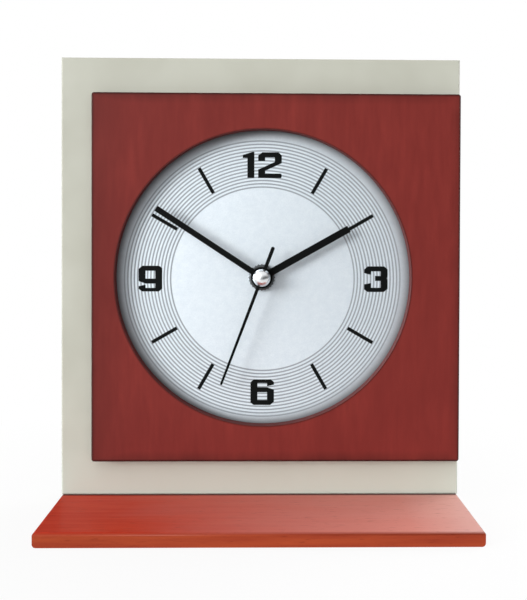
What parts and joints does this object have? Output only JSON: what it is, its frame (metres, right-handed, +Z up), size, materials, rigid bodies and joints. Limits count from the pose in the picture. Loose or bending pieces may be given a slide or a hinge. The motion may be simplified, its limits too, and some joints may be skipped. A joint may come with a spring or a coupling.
{
  "type": "table clock",
  "caption": "Square-framed quartz table clock: stained frame with a round silver dial on a cream board, standing on a stained plank.",
  "frame": {"origin": "middle of the base plank's underside, on the surface that the clock stands on", "axes": "+Z up, dial facing -Y, +X to the right of someone reading the dial"},
  "size_m": [0.164, 0.075, 0.1855],
  "materials": {
    "base_stain": "orange-red stain under gloss lacquer",
    "cream_paint": "cream satin paint on board",
    "frame_stain": "deep red stain, satin, fine upright grain",
    "dial_silver": "fine silver, satin, printed rings",
    "screw_steel": "zinc plated",
    "gasket_rubber": "matt black",
    "nut_steel": "dark plated, knurled",
    "case_plastic": "black, fine moulded texture",
    "circuit_green": "green solder resist",
    "resin_black": "black resin drop",
    "crystal_can": "bright can",
    "soft_iron": "bare",
    "spool_plastic": "natural white",
    "copper_wire": "enamelled copper",
    "contact_steel": "nickel plated strip",
    "battery_jacket": "plain dark jacket with a bright end",
    "gear_plastic": "natural white",
    "arbor_brass": "turned",
    "knob_plastic": "black, ribbed edge",
    "hand_black": "black, semi-gloss",
    "cap_chrome": "polished"
  },
  "bodies": {
    "clock_body": {"base_plank": "base_stain", "back_board": "cream_paint", "front_frame": "frame_stain", "dial_plate": "dial_silver", "base_screws": "screw_steel", "frame_screws": "screw_steel", "bush_gasket": "gasket_rubber", "bush_nut": "nut_steel", "movement_case": "case_plastic", "movement_cover": "case_plastic", "circuit_board": "circuit_green", "control_chip": "resin_black", "quartz_crystal": "crystal_can", "stator": "soft_iron", "coil_core": "soft_iron", "coil_spool": "spool_plastic", "coil_winding": "copper_wire", "positive_contact": "contact_steel", "negative_contact": "contact_steel"},
    "seconds": {"seconds_wheel": "gear_plastic", "second_hand": "hand_black", "hand_cap": "cap_chrome"},
    "minutes": {"minute_arbor": "arbor_brass", "centre_wheel": "gear_plastic", "minute_hand": "hand_black"},
    "hours": {"hour_wheel": "gear_plastic", "hour_hand": "hand_black"},
    "third": {"third_wheel": "gear_plastic"},
    "fifth": {"fifth_wheel": "gear_plastic"},
    "rotor": {"rotor": "gear_plastic"},
    "motion": {"motion_wheel": "gear_plastic"},
    "knob": {"setting_knob": "knob_plastic"},
    "battery": {"battery": "battery_jacket"}
  },
  "joints": [
    {"name": "seconds_turn", "type": "hinge", "parent": "clock_body", "child": "seconds", "pos_m": [0.00035, 0.0125, 0.0955], "axis": [0, 1, 0], "continuous": true},
    {"name": "minutes_turn", "type": "hinge", "parent": "clock_body", "child": "minutes", "pos_m": [0.00035, 0.0125, 0.0955], "axis": [0, 1, 0], "continuous": true},
    {"name": "hours_turn", "type": "hinge", "parent": "clock_body", "child": "hours", "pos_m": [0.00035, 0.0125, 0.0955], "axis": [0, 1, 0], "continuous": true},
    {"name": "third_turn", "type": "hinge", "parent": "clock_body", "child": "third", "pos_m": [-0.00729, 0.0125, 0.10314], "axis": [0, 1, 0], "continuous": true},
    {"name": "fifth_turn", "type": "hinge", "parent": "clock_body", "child": "fifth", "pos_m": [0.0105, 0.0125, 0.09919], "axis": [0, 1, 0], "continuous": true},
    {"name": "rotor_turn", "type": "hinge", "parent": "clock_body", "child": "rotor", "pos_m": [0.01585, 0.0125, 0.10114], "axis": [0, 1, 0], "continuous": true},
    {"name": "motion_turn", "type": "hinge", "parent": "clock_body", "child": "motion", "pos_m": [-0.00805, 0.0125, 0.0955], "axis": [0, 1, 0], "continuous": true},
    {"name": "knob_turn", "type": "hinge", "parent": "clock_body", "child": "knob", "pos_m": [-0.01645, 0.0125, 0.0955], "axis": [0, 1, 0], "continuous": true},
    {"name": "battery_slide", "type": "slide", "parent": "clock_body", "child": "battery", "axis": [0, 1, 0], "range_m": [0, 0.03]}
  ],
  "couplings": [
    {"joint": "minutes_turn", "follows": "seconds_turn", "ratio": 0.016667},
    {"joint": "hours_turn", "follows": "seconds_turn", "ratio": 0.0013889},
    {"joint": "third_turn", "follows": "seconds_turn", "ratio": -0.13333},
    {"joint": "fifth_turn", "follows": "seconds_turn", "ratio": -8},
    {"joint": "rotor_turn", "follows": "seconds_turn", "ratio": 30},
    {"joint": "motion_turn", "follows": "seconds_turn", "ratio": -0.0055556},
    {"joint": "knob_turn", "follows": "seconds_turn", "ratio": 0.016667}
  ]
}
